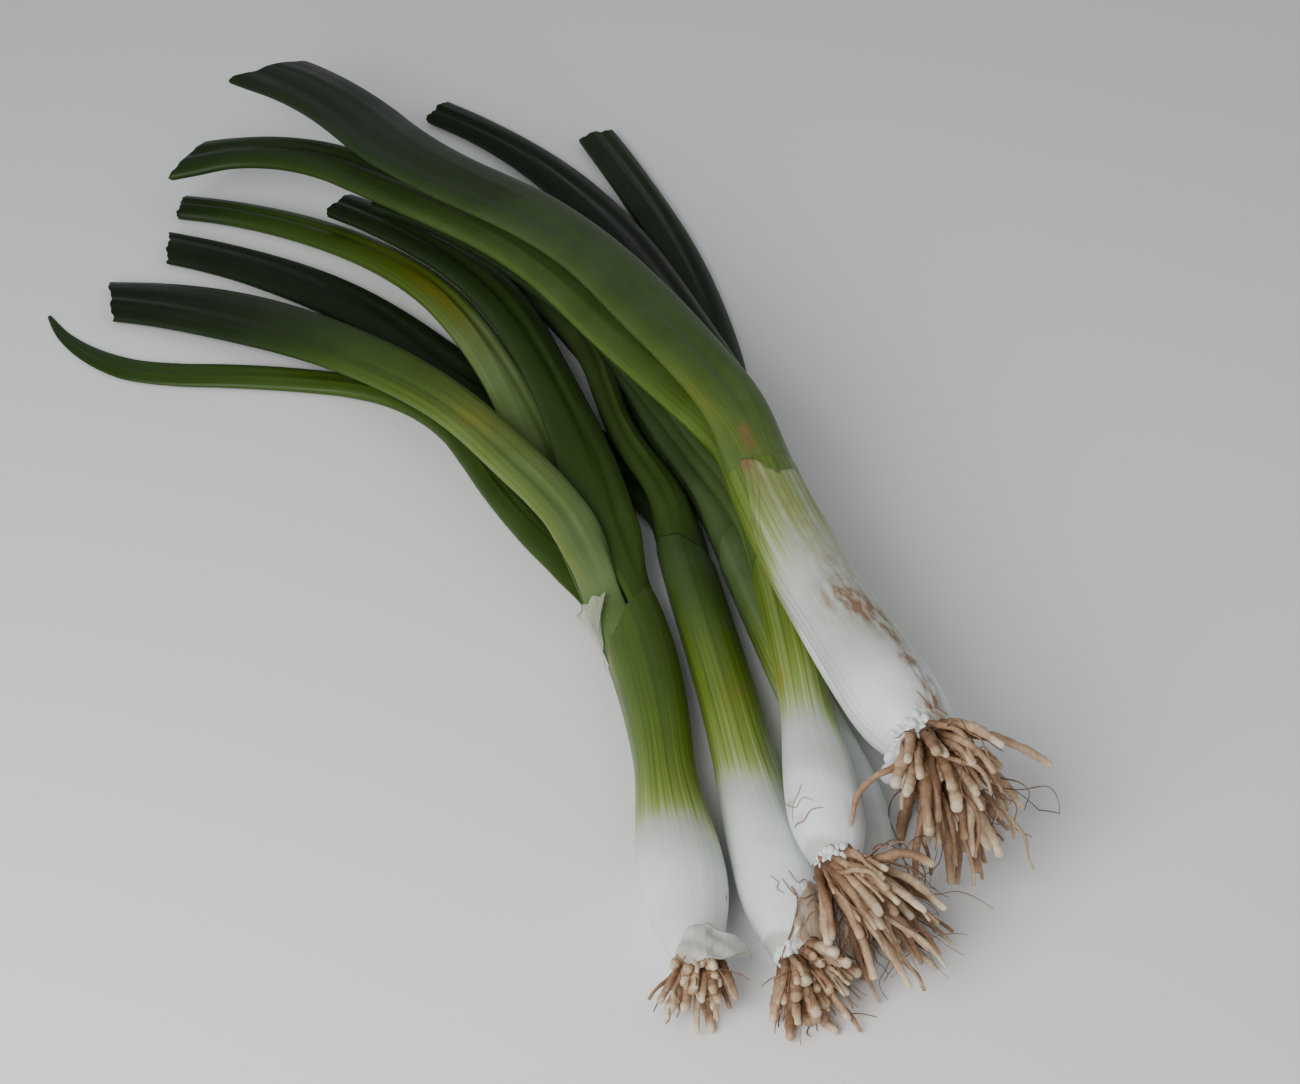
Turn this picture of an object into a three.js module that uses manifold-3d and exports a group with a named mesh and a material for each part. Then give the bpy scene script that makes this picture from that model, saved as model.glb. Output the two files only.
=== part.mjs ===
// A bunch of six spring onions lying on a table: every onion has a white shaft with a bulbous foot,
// a tuft of cut roots on a basal plate, and long leaves that part from the top of the shaft.
// Units are millimetres. +X runs along the bunch from the leaf tips to the roots, +Z is up, and the
// origin is on the table under the middle of the bunch.

import * as THREE from "three";
import { mergeVertices } from "three/addons/utils/BufferGeometryUtils.js";
import Module from "manifold-3d";

// ---------------------------------------------------------------------------------------------
// Driving dimensions
// ---------------------------------------------------------------------------------------------

const STATION = 3; // spacing of the stations at which pieces are laid on each other
const GAP = 0.8; // air left between two pieces that lie on each other
const PRESS = 0.5; // how far the soft flesh is pressed flat where it rests on the table
const FAN_LENGTH = 30; // stretch over which a leaf swings out of the line of its shaft
const JOINT_GAP = 0.4; // between the foot or the top of a shaft and what grows from it
const LEAF_MIDDLE = 3.4; // half thickness of a leaf along its blade
const LEAF_SAG = 0.004; // drop of a free span of leaf between two stations
const SOFTNESS = 6; // stations over which a leaf eases over an edge

const SHAFT_SIDES = 10;
const SHAFT_RING = 8; // spacing of the rings of a shaft
const LEAF_SIDES = 8;
const LEAF_RING = 14;
const ROOT_SIDES = 5;
const ROOT_STEP = 6; // length of the steps in which a root is laid
const ROOT_FOOT = 1.6; // radius of a root where it leaves its plate
const ROOT_END = 1.2; // radius of its blunt end
const ROOT_SAG = 0.2; // how far a root turns down at each step
const PLATE_THICK = 3.5; // the plate that the roots grow from

// A scrap of dry outer skin that still clings over the foot of one onion. It reaches from behind
// the foot to some way up the bulb, and round it between two angles from the top.
const FLAP = { onion: "onion_4", behind: 5.5, up: 4.5, left: -50, right: 80, thick: 0.6, flare: 0.8 };

// Each shaft starts at its root plate and runs along headings in degrees from +X, turning evenly
// through the angles in turns over equal parts of its length. plate, bulb, neck and top are half
// widths: bulb is reached at bulbAt from the plate, and neck after another neckIn. The tuft has
// roots of about rootLength, whose outermost lean out by spread degrees, and which all sweep
// sideways by sweep degrees.
const SHAFTS = {
  onion_1: {
    root: [135, -13], heading: 170, length: 110, turns: [-5, -7],
    plate: 9, bulb: 12, bulbAt: 14, neck: 10.8, neckIn: 50, top: 10.2,
    roots: 11, rootLength: 36, spread: 42, sweep: 0,
  },
  onion_2: {
    root: [149, -51], heading: 150, length: 122, turns: [-2, 5],
    plate: 5.8, bulb: 9.8, bulbAt: 20, neck: 6.9, neckIn: 42, top: 6.6,
    roots: 10, rootLength: 34, spread: 40, sweep: 32,
  },
  onion_3: {
    root: [156, -67], heading: 155, length: 160, turns: [-2, 1],
    plate: 6.4, bulb: 10.8, bulbAt: 24, neck: 8.2, neckIn: 60, top: 6.2,
    roots: 10, rootLength: 19, spread: 40, sweep: 14,
  },
  onion_4: {
    root: [141, -88], heading: 152, length: 130, turns: [-2, 12],
    plate: 6, bulb: 11.3, bulbAt: 26, neck: 7.9, neckIn: 44, top: 8.4,
    roots: 9, rootLength: 13, spread: 32, sweep: -8,
  },
  onion_5: {
    root: [145, -36], heading: 152, length: 136, turns: [8, -1],
    plate: 6, bulb: 9.6, bulbAt: 22, neck: 6.8, neckIn: 50, top: 6.2,
    roots: 8, rootLength: 28, spread: 36, sweep: 22,
  },
  onion_6: {
    root: [122, 6], heading: 165, length: 146, turns: [-1, -5],
    plate: 7, bulb: 10.4, bulbAt: 20, neck: 8.6, neckIn: 50, top: 8,
    roots: 9, rootLength: 32, spread: 40, sweep: 4,
  },
};

// A leaf swings out by fan degrees, then turns evenly through the angles in turns over equal parts
// of the rest of its length. width is its half width, and tip says whether its end was cut across
// or grew to a point. layer counts the leaves of one onion from below.
const LEAVES = {
  onion_1_leaf_lower: { fan: 22, length: 275, turns: [-4, 13, 2, 53], width: 10.5, tip: "cut", slant: 8, layer: 0 },
  onion_1_leaf_upper: { fan: 13, length: 280, turns: [3, 23, -20, 15], width: 11.5, tip: "cut", slant: 8, layer: 1 },
  onion_2_leaf_lower: { fan: 17, length: 220, turns: [3, 13, 15], width: 7.5, tip: "cut", layer: 0 },
  onion_2_leaf_upper: { fan: 20, length: 180, turns: [-8, 13, 3], width: 7, tip: "cut", layer: 1 },
  onion_3_leaf_lower: { fan: 27, length: 235, turns: [15, -10, 17, 14], width: 9.5, tip: "cut", slant: -3, layer: 0 },
  onion_3_leaf_upper: { fan: 19, length: 195, turns: [-18, 20, 11, 7], width: 5, tip: "cut", layer: 1 },
  onion_4_leaf_lowest: { fan: 22, length: 255, turns: [-17, 51, 12, -55], width: 5.2, tip: "point", layer: 0 },
  onion_4_leaf_inner: { fan: 2, length: 270, turns: [-1, 10, 27, 25], width: 7.2, tip: "cut", slant: 0, layer: 1 },
  onion_4_leaf_right: { fan: -12, length: 225, turns: [10, 7, 21, 7], width: 8.3, tip: "cut", layer: 2 },
  onion_4_leaf_left: { fan: 16, length: 235, turns: [-2, 18, 13, 18], width: 8.6, tip: "cut", slant: -4, layer: 3 },
  onion_5_leaf_lower: { fan: 11, length: 210, turns: [-2, 15, 6], width: 7, tip: "cut", layer: 0 },
  onion_5_leaf_upper: { fan: 13, length: 170, turns: [-8, 15, -5], width: 6, tip: "cut", layer: 1 },
  onion_6_leaf_lower: { fan: -9, length: 175, turns: [9, 6, 3], width: 8, tip: "cut", layer: 0 },
  onion_6_leaf_upper: { fan: 6, length: 215, turns: [1, 13, 20], width: 8.3, tip: "cut", layer: 1 },
};

// The order in which the pieces come to lie on the table and on each other, lowest first.
const LAYING_ORDER = [
  "onion_3", "onion_3_leaf_lower", "onion_4", "onion_4_leaf_lowest", "onion_4_leaf_inner",
  "onion_5", "onion_5_leaf_lower", "onion_3_leaf_upper", "onion_4_leaf_right", "onion_4_leaf_left",
  "onion_5_leaf_upper", "onion_6", "onion_6_leaf_lower", "onion_6_leaf_upper",
  "onion_2", "onion_2_leaf_lower", "onion_2_leaf_upper",
  "onion_1", "onion_1_leaf_lower", "onion_1_leaf_upper",
];

// ---------------------------------------------------------------------------------------------
// Plan paths
// ---------------------------------------------------------------------------------------------

// Walks from start along a heading that turns evenly within each arc, and returns the stations
// passed on the way, each with its plan place, its heading in radians and its distance s.
function walk(start, heading, arcs) {
  const stations = [];
  let [x, y] = start;
  let angle = THREE.MathUtils.degToRad(heading);
  let s = 0;
  stations.push({ x, y, angle, s });
  for (const arc of arcs) {
    const steps = Math.max(1, Math.round(arc.length / STATION));
    const step = arc.length / steps;
    const bend = THREE.MathUtils.degToRad(arc.turn) / steps;
    for (let i = 0; i < steps; i += 1) {
      const middle = angle + bend / 2;
      x += step * Math.cos(middle);
      y += step * Math.sin(middle);
      angle += bend;
      s += step;
      stations.push({ x, y, angle, s });
    }
  }
  return stations;
}

const equalArcs = (length, turns) => turns.map((turn) => ({ length: length / turns.length, turn }));

const smooth = (t) => THREE.MathUtils.smoothstep(t, 0, 1);

// Half width of a shaft: a quarter sine from the root plate to the bulb, a half cosine down to the
// neck, then a straight taper to the top.
function shaftRadius(shaft, s) {
  const { plate, bulb, bulbAt, neck, neckIn, top, length } = shaft;
  if (s < bulbAt) return plate + (bulb - plate) * Math.sin((Math.PI / 2) * (s / bulbAt));
  const fallen = Math.min(1, (s - bulbAt) / neckIn);
  if (fallen < 1) return neck + ((bulb - neck) * (1 + Math.cos(Math.PI * fallen))) / 2;
  return THREE.MathUtils.lerp(neck, top, (s - bulbAt - neckIn) / (length - bulbAt - neckIn));
}

// Half width and half thickness of a leaf: it leaves the shaft as one of its layers, opens out to
// its blade, and narrows a little to a cut end or runs out to a point.
function leafSection(leaf, shaft, layers, s) {
  const share = s / leaf.length;
  const opened = smooth(s / (0.3 * leaf.length));
  const foot = { a: 0.94 * shaft.top, b: shaft.top / layers - GAP / 2 };
  const narrowing = leaf.tip === "point"
    ? 1 - 0.93 * THREE.MathUtils.clamp((share - 0.35) / 0.65, 0, 1) ** 1.3
    : 1 - 0.12 * smooth((share - 0.6) / 0.4);
  const thinning = leaf.tip === "point" ? narrowing : 1 - 0.15 * smooth((share - 0.6) / 0.4);
  return {
    a: THREE.MathUtils.lerp(foot.a, leaf.width, opened) * narrowing,
    b: THREE.MathUtils.lerp(foot.b, Math.min(LEAF_MIDDLE, 0.62 * leaf.width), opened) * thinning,
  };
}

// ---------------------------------------------------------------------------------------------
// Laying the pieces on the table and on each other
// ---------------------------------------------------------------------------------------------

const ANGLES = Array.from({ length: 17 }, (_, i) => THREE.MathUtils.degToRad(5 * (i + 2)));

// How far the middle of section p has to be above the middle of section q, at a distance d in plan,
// for some plane to pass between the two ellipses with the gap to spare.
function lift(p, q, d) {
  let least = Infinity;
  for (const t of ANGLES) {
    const cos = Math.cos(t);
    const sin = Math.sin(t);
    const reach = Math.hypot(p.a * cos, p.b * sin) + Math.hypot(q.a * cos, q.b * sin) + GAP;
    least = Math.min(least, (reach - d * cos) / sin);
  }
  return least;
}

const laid = [];

// The lowest that each station of a piece may be, over the table and over what lies there already.
function heightsNeeded(stations, skip) {
  return stations.map((p) => {
    let need = p.b - PRESS;
    for (const q of laid) {
      const d = Math.hypot(p.x - q.x, p.y - q.y);
      if (q.owner === skip || d > p.a + q.a + GAP) continue;
      need = Math.max(need, q.z + lift(p, q, d));
    }
    return need;
  });
}

// A shaft is stiff, so it rests on two points: of all straight lines over what lies below it, it
// takes the one that brings its weight lowest.
function restStiff(stations) {
  const need = heightsNeeded(stations, null);
  const weightAt = 0.55 * stations.at(-1).s;
  let best = null;
  for (let slope = -0.35; slope <= 0.35; slope += 0.0025) {
    const foot = Math.max(...stations.map((p, i) => need[i] - slope * p.s));
    const height = foot + slope * weightAt;
    if (!best || height < best.height) best = { slope, foot, height };
  }
  return stations.map((p) => best.foot + best.slope * p.s);
}

// A leaf is limp: it starts at its foot, sags between what holds it up, and eases over each edge.
function restLimp(stations, foot, skip) {
  const need = heightsNeeded(stations, skip);
  const last = need.length - 1;
  const z = need.slice();
  z[0] = foot;
  for (let pass = 0; pass < 4000; pass += 1) {
    for (let i = 1; i < last; i += 1) {
      z[i] = Math.max(need[i], (z[i - 1] + z[i + 1]) / 2 - LEAF_SAG);
    }
    z[last] = Math.max(need[last], z[last - 1] - 0.2);
  }
  const reach = z.map((_, i) => Math.min(SOFTNESS, i, last - i));
  const around = (line, i) => line.slice(i - reach[i], i + reach[i] + 1);
  const raised = z.map((_, i) => Math.max(...around(z, i)));
  return raised.map((_, i) => {
    const near = around(raised, i);
    return near.reduce((sum, v) => sum + v, 0) / near.length;
  });
}

// A direction in plan and its tilt out of plan, with the directions across it.
function frameAt(angle, tilt) {
  const along = new THREE.Vector3(
    Math.cos(angle) * Math.cos(tilt), Math.sin(angle) * Math.cos(tilt), Math.sin(tilt),
  );
  const side = new THREE.Vector3(Math.sin(angle), -Math.cos(angle), 0);
  return { along, side, up: side.clone().cross(along) };
}

// Lays a shaft: its stations with their sections, heights and tilt.
function layShaft(shaft) {
  const stations = walk(shaft.root, shaft.heading, equalArcs(shaft.length, shaft.turns));
  for (const p of stations) p.a = p.b = shaftRadius(shaft, p.s);
  const heights = restStiff(stations);
  const tilt = Math.atan2(heights.at(-1) - heights[0], shaft.length);
  stations.forEach((p, i) => Object.assign(p, { z: heights[i], tilt }));
  return stations;
}

// Lays a leaf: it starts on the top of its shaft, in the layer it has there, and takes the tilt of
// the shaft at first.
function layLeaf(leaf, owner, layers) {
  const shaft = SHAFTS[owner];
  const top = lines[owner].at(-1);
  const { along, up } = frameAt(top.angle, top.tilt);
  const offset = ((leaf.layer - (layers - 1) / 2) * 2 * shaft.top) / layers;
  const foot = new THREE.Vector3(top.x, top.y, top.z)
    .addScaledVector(along, JOINT_GAP)
    .addScaledVector(up, offset);
  const arcs = [
    { length: FAN_LENGTH, turn: leaf.fan },
    ...equalArcs(leaf.length - FAN_LENGTH, leaf.turns),
  ];
  const stations = walk([foot.x, foot.y], THREE.MathUtils.radToDeg(top.angle), arcs);
  for (const p of stations) Object.assign(p, leafSection(leaf, shaft, layers, p.s));
  const heights = restLimp(stations, foot.z, owner);
  stations.forEach((p, i) => {
    const [before, after] = [Math.max(0, i - 1), Math.min(heights.length - 1, i + 1)];
    const slope = Math.atan2(heights[after] - heights[before], (after - before) * STATION);
    p.z = heights[i];
    p.tilt = THREE.MathUtils.lerp(top.tilt, slope, smooth(p.s / FAN_LENGTH));
  });
  return stations;
}

const lines = {}; // the laid stations of each piece, by name

for (const name of LAYING_ORDER) {
  const owner = name.slice(0, "onion_1".length);
  const layers = Object.keys(LEAVES).filter((other) => other.startsWith(owner)).length;
  lines[name] = SHAFTS[name] ? layShaft(SHAFTS[name]) : layLeaf(LEAVES[name], owner, layers);
  for (const p of lines[name]) laid.push({ ...p, owner: name });
}

// ---------------------------------------------------------------------------------------------
// Solids
// ---------------------------------------------------------------------------------------------

// The place, the directions and the section of a laid line at distance s.
function sectionAt(line, s) {
  const i = THREE.MathUtils.clamp(line.findIndex((p) => p.s >= s - 1e-6), 1, line.length - 1);
  const [p, q] = [line[i - 1], line[i]];
  const t = (s - p.s) / (q.s - p.s);
  const mix = (key) => THREE.MathUtils.lerp(p[key], q[key], t);
  const at = new THREE.Vector3(mix("x"), mix("y"), mix("z"));
  return { at, ...frameAt(mix("angle"), mix("tilt")), a: mix("a"), b: mix("b") };
}

// A cylinder bent along a laid line: its rings take the line's sections, its end is cut at a slant
// that leads by so much on the left, and nothing of it goes below the table.
function bentAlong(line, sides, ring, slant) {
  const length = line.at(-1).s;
  const geometry = new THREE.CylinderGeometry(1, 1, 1, sides, Math.round(length / ring));
  geometry.rotateY(Math.PI / sides); // a flat side, not a corner, lies underneath
  const position = geometry.getAttribute("position");
  for (let i = 0; i < position.count; i += 1) {
    const share = position.getY(i) + 0.5;
    const { at, along, side, up, a, b } = sectionAt(line, share * length);
    const lead = slant * -position.getX(i) * smooth((share - 0.85) / 0.15);
    at.addScaledVector(side, a * position.getX(i)).addScaledVector(up, b * position.getZ(i));
    at.addScaledVector(along, lead);
    position.setXYZ(i, at.x, at.y, Math.max(0, at.z));
  }
  return geometry;
}

// ---------------------------------------------------------------------------------------------
// Roots
// ---------------------------------------------------------------------------------------------

const wasm = await Module();
wasm.setup();

function toSolid(geometry) {
  const bare = geometry.clone();
  bare.deleteAttribute("normal");
  bare.deleteAttribute("uv");
  const merged = mergeVertices(bare, 1e-4);
  const vertProperties = merged.getAttribute("position").array;
  const triVerts = new Uint32Array(merged.getIndex().array);
  return new wasm.Manifold(new wasm.Mesh({ numProp: 3, vertProperties, triVerts }));
}

function toGeometry(solid) {
  const { vertProperties, triVerts } = solid.getMesh();
  const geometry = new THREE.BufferGeometry();
  geometry.setAttribute("position", new THREE.BufferAttribute(vertProperties, 3));
  geometry.setIndex(new THREE.BufferAttribute(triVerts, 1));
  geometry.computeVertexNormals();
  return geometry;
}

// A cylinder bent along a curve, with a radius that runs evenly from its foot to its end.
function bentRod(curve, foot, end, sides, rings) {
  const geometry = new THREE.CylinderGeometry(1, 1, 1, sides, rings);
  const frames = curve.computeFrenetFrames(rings, false);
  const position = geometry.getAttribute("position");
  for (let i = 0; i < position.count; i += 1) {
    const share = position.getY(i) + 0.5;
    const k = Math.round(share * rings);
    const radius = THREE.MathUtils.lerp(foot, end, share);
    const at = curve.getPointAt(share);
    at.addScaledVector(frames.binormals[k], radius * position.getX(i));
    at.addScaledVector(frames.normals[k], radius * position.getZ(i));
    position.setXYZ(i, at.x, at.y, at.z);
  }
  return geometry;
}

// What a root has to keep clear of: balls along every shaft, leaf and root already laid.
const balls = [];
for (const p of laid) balls.push({ at: new THREE.Vector3(p.x, p.y, p.z), radius: p.b, owner: p.owner });

// Moves a point out of the balls of other onions, and above the table.
function keepClear(point, radius, owner) {
  for (let pass = 0; pass < 12; pass += 1) {
    for (const ball of balls) {
      const apart = ball.radius + radius + GAP;
      const away = point.clone().sub(ball.at);
      if (ball.owner === owner || away.length() >= apart) continue;
      point.addScaledVector(away.normalize(), apart - point.distanceTo(ball.at));
    }
    point.z = Math.max(point.z, radius + 0.3);
  }
  return point;
}

// The tuft under an onion: a plate and roots that start all over it, lean outward the further out
// they start, sag towards the table and lie along it.
function rootTuft(owner) {
  const shaft = SHAFTS[owner];
  const base = sectionAt(lines[owner], 0);
  const down = base.along.clone().negate();
  const start = base.at.clone().addScaledVector(down, JOINT_GAP);
  const rim = shaft.plate - 0.6;
  const sweep = THREE.MathUtils.degToRad(shaft.sweep);
  const plateLine = new THREE.LineCurve3(start, start.clone().addScaledVector(down, PLATE_THICK));
  let tuft = toSolid(bentRod(plateLine, rim, 0.75 * rim, SHAFT_SIDES, 1));
  const paths = [];
  for (let i = 0; i < shaft.roots; i += 1) {
    const out = 0.72 * rim * Math.sqrt((i + 0.5) / shaft.roots);
    const turn = i * THREE.MathUtils.degToRad(137.5);
    const outward = base.side.clone().multiplyScalar(Math.cos(turn))
      .addScaledVector(base.up, Math.sin(turn));
    const lean = THREE.MathUtils.degToRad(shaft.spread) * (out / rim);
    const heading = down.clone().multiplyScalar(Math.cos(lean))
      .addScaledVector(outward, Math.sin(lean))
      .applyAxisAngle(new THREE.Vector3(0, 0, 1), sweep);
    const length = shaft.rootLength * (0.85 + 0.3 * ((i * 0.618) % 1));
    const points = [start.clone().addScaledVector(outward, out).addScaledVector(down, 1.2)];
    for (let gone = 0; gone < length; gone += ROOT_STEP) {
      heading.z -= ROOT_SAG;
      heading.normalize();
      const next = points.at(-1).clone().addScaledVector(heading, ROOT_STEP);
      points.push(keepClear(next, ROOT_FOOT, owner));
    }
    const path = new THREE.CatmullRomCurve3(points);
    tuft = tuft.add(toSolid(bentRod(path, ROOT_FOOT, ROOT_END, ROOT_SIDES, points.length - 1)));
    paths.push(path);
  }
  for (const path of paths) {
    for (const at of path.getSpacedPoints(20)) balls.push({ at, radius: ROOT_FOOT, owner });
  }
  return toGeometry(tuft);
}

// The scrap of dry skin: a thin sheet bent round the foot of its onion, flaring over the roots.
function skinFlap() {
  const shaft = SHAFTS[FLAP.onion];
  const foot = sectionAt(lines[FLAP.onion], 0);
  const geometry = new THREE.BoxGeometry(1, 1, 1, 8, 1, 4);
  const position = geometry.getAttribute("position");
  for (let i = 0; i < position.count; i += 1) {
    const s = THREE.MathUtils.lerp(-FLAP.behind, FLAP.up, position.getZ(i) + 0.5);
    const turn = THREE.MathUtils.lerp(FLAP.right, FLAP.left, position.getX(i) + 0.5);
    const round = THREE.MathUtils.degToRad(turn);
    const skin = s < 0 ? shaft.plate - FLAP.flare * s : shaftRadius(shaft, s);
    const radius = skin + 0.5 + FLAP.thick * (position.getY(i) + 0.5);
    const at = foot.at.clone()
      .addScaledVector(foot.along, s)
      .addScaledVector(foot.side, radius * Math.sin(round))
      .addScaledVector(foot.up, radius * Math.cos(round));
    position.setXYZ(i, at.x, at.y, at.z);
  }
  return geometry;
}

// ---------------------------------------------------------------------------------------------
// The bunch
// ---------------------------------------------------------------------------------------------

const group = new THREE.Group();

function add(name, geometry, material) {
  const mesh = new THREE.Mesh(geometry, material);
  mesh.name = name;
  group.add(mesh);
  return mesh;
}

const white = new THREE.MeshStandardMaterial({ color: 0xd9dcd2, roughness: 0.35, metalness: 0 });
const tan = new THREE.MeshStandardMaterial({ color: 0x8c6f55, roughness: 0.8, metalness: 0 });
const paper = new THREE.MeshStandardMaterial({ color: 0xb3aca0, roughness: 0.6, metalness: 0 });
const green = new THREE.MeshStandardMaterial({ color: 0x3c5a26, roughness: 0.45, metalness: 0 });

for (const name of ["onion_3", "onion_4", "onion_5", "onion_6", "onion_2", "onion_1"]) {
  add(`${name}_shaft`, bentAlong(lines[name], SHAFT_SIDES, SHAFT_RING, 0), white);
  add(`${name}_roots`, rootTuft(name), tan);
}
for (const [name, leaf] of Object.entries(LEAVES)) {
  add(name, bentAlong(lines[name], LEAF_SIDES, LEAF_RING, leaf.slant ?? 0), green);
}
add(`${FLAP.onion}_skin_flap`, skinFlap(), paper);

// The origin goes on the table under the middle of the bunch.
const box = new THREE.Box3().setFromObject(group);
group.position.set(-(box.min.x + box.max.x) / 2, -(box.min.y + box.max.y) / 2, 0);

export default group;
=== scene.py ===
import bpy
import numpy as np
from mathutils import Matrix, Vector


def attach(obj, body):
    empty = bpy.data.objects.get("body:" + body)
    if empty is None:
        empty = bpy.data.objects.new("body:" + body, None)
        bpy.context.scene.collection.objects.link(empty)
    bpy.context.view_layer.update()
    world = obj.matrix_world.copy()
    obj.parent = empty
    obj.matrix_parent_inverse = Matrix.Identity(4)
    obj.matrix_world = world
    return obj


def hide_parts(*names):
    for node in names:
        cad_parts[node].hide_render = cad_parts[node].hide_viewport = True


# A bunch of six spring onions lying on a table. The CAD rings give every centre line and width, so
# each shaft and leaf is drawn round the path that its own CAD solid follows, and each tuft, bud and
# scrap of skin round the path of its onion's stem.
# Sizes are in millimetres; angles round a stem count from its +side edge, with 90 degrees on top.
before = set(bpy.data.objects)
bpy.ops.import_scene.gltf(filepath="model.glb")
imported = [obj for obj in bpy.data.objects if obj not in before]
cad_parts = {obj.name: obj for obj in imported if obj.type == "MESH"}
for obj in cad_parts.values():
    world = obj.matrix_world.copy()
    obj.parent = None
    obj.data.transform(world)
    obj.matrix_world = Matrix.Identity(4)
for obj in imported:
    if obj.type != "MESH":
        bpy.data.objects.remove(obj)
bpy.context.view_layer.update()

# ------------------------------
# Shafts: the six stems, each a roll of fleshy leaf sheaths that swells into a white bulb at the
# foot and greens towards the top, where the outermost sheath ends in a thin slanted collar.


def read_tube(node, sides):
    """Centre line, widths and end slant of a CAD tube. Its cap centres are the two vertices with
    one neighbour per side; from the cap nearer the roots, each further ring is one edge on."""
    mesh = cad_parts[node].data
    corners = np.empty(len(mesh.vertices) * 3)
    mesh.vertices.foreach_get("co", corners)
    mesh.calc_loop_triangles()
    faces = np.empty(len(mesh.loop_triangles) * 3, int)
    mesh.loop_triangles.foreach_get("vertices", faces)
    places, same = np.unique(np.round(corners.reshape(-1, 3) * 1e6), axis=0, return_inverse=True)
    faces = same.reshape(-1)[faces].reshape(-1, 3)
    places = places * 1e-3
    joined = np.zeros((len(places), len(places)), bool)
    for a, b in ((0, 1), (1, 2), (2, 0)):
        joined[faces[:, a], faces[:, b]] = True
        joined[faces[:, b], faces[:, a]] = True
    caps = np.flatnonzero(joined.sum(axis=1) == sides)
    edge = np.arange(len(places)) == caps[np.argmax(places[caps, 0])]
    passed = edge.copy()
    rings = []
    while True:
        edge = (joined @ edge) & ~passed
        if edge.sum() != sides:
            break
        rings.append(places[edge])
        passed |= edge
    rings = np.array(rings)
    centre = rings.mean(axis=1)
    s = np.append(0, np.cumsum(np.linalg.norm(np.diff(centre, axis=0), axis=1)))
    ahead, side, up = directions(np.gradient(centre, s, axis=0))
    spokes = rings - centre[:, None]
    across = np.einsum("ijk,ik->ij", spokes, side)
    above = np.einsum("ijk,ik->ij", spokes, up)
    lead = spokes[-1] @ ahead[-1]
    slant = (lead @ across[-1]) / max((across[-1] @ across[-1]), 1e-6)
    return {
        "s": s,
        "centre": centre,
        "wide": np.abs(across).max(axis=1),
        "thick": above.max(axis=1),
        "slant": slant,
    }


def unit(vectors):
    """Vectors over their lengths."""
    return vectors / np.linalg.norm(vectors, axis=-1, keepdims=True)


def around(count):
    """Angles evenly round a full turn."""
    return np.linspace(0, 2 * np.pi, count, endpoint=False)


def directions(tangent):
    """Unit tangent, the horizontal across it, and the direction square to both that points up."""
    ahead = unit(tangent)
    side = unit(np.stack([ahead[..., 1], -ahead[..., 0], np.zeros_like(ahead[..., 0])], axis=-1))
    return ahead, side, np.cross(side, ahead)


def follow(stations, values, s):
    """Values at distances s on cubics through the stations, each leaving a station at the mean
    slope of its two sides; past either end the curve runs on straight."""
    values = np.asarray(values, float)
    slopes = np.gradient(values, stations, axis=0)
    i = np.clip(np.searchsorted(stations, s) - 1, 0, len(stations) - 2)
    gap = stations[i + 1] - stations[i]
    raw = (s - stations[i]) / gap
    t = np.clip(raw, 0, 1)
    if values.ndim > 1:
        gap, raw, t = gap[..., None], raw[..., None], t[..., None]
    curve = (
        (1 + 2 * t) * (1 - t) ** 2 * values[i]
        + t * (1 - t) ** 2 * gap * slopes[i]
        + t**2 * (3 - 2 * t) * values[i + 1]
        - t**2 * (1 - t) * gap * slopes[i + 1]
    )
    return curve + (raw - t) * gap * np.where(raw < t, slopes[0], slopes[-1])


def frames(tube, s):
    """Points, sides and ups of a tube's centre line at distances s; the tangent is the chord between
    half a millimetre before and after."""
    stations, centre = tube["s"], tube["centre"]
    chord = follow(stations, centre, s + 0.5) - follow(stations, centre, s - 0.5)
    _, side, up = directions(chord)
    return follow(stations, centre, s), side, up


def spoke(side, up, angle):
    """The direction at an angle round a stem: side by its cosine plus up by its sine."""
    return side * np.cos(angle)[..., None] + up * np.sin(angle)[..., None]


def ease(t):
    """0 before 0, 1 after 1, and the cubic 3t2 - 2t3 between."""
    t = np.clip(t, 0, 1)
    return t * t * (3 - 2 * t)


def profile(pairs, s):
    """A smooth curve through (distance, value) pairs, level past both ends."""
    stations, values = np.array(pairs, float).T
    return follow(stations, values, np.clip(s, stations[0], stations[-1]))


def patch(s, angle, spots, radius):
    """Strength of blots on a stem: each spot (distance, degrees, length, width, strength) is a
    bell over the skin, whose width is measured round a stem of this radius."""
    total = np.zeros(np.broadcast(s, angle).shape)
    for at, degrees, length, width, strength in spots:
        turn = (np.degrees(angle) - degrees + 180) % 360 - 180
        round_it = np.radians(turn) * radius
        total += strength * np.exp(-(((s - at) / length) ** 2) - (round_it / width) ** 2)
    return total


CLEAR = 9.0  # distance to a seam where there is none
NO_WAX = [(0, 0), (1, 0)]


def blots(s, angle, look, radius):
    """Soil, yellowing, wax and distance to a seam at each point of a stem or leaf."""
    marks = np.full(s.shape + (4,), CLEAR)
    marks[..., 0] = patch(s, angle, look.get("dirt", ()), radius)
    marks[..., 1] = patch(s, angle, look.get("yellow", ()), radius)
    marks[..., 2] = profile(look.get("wax", NO_WAX), s)
    return marks


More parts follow.
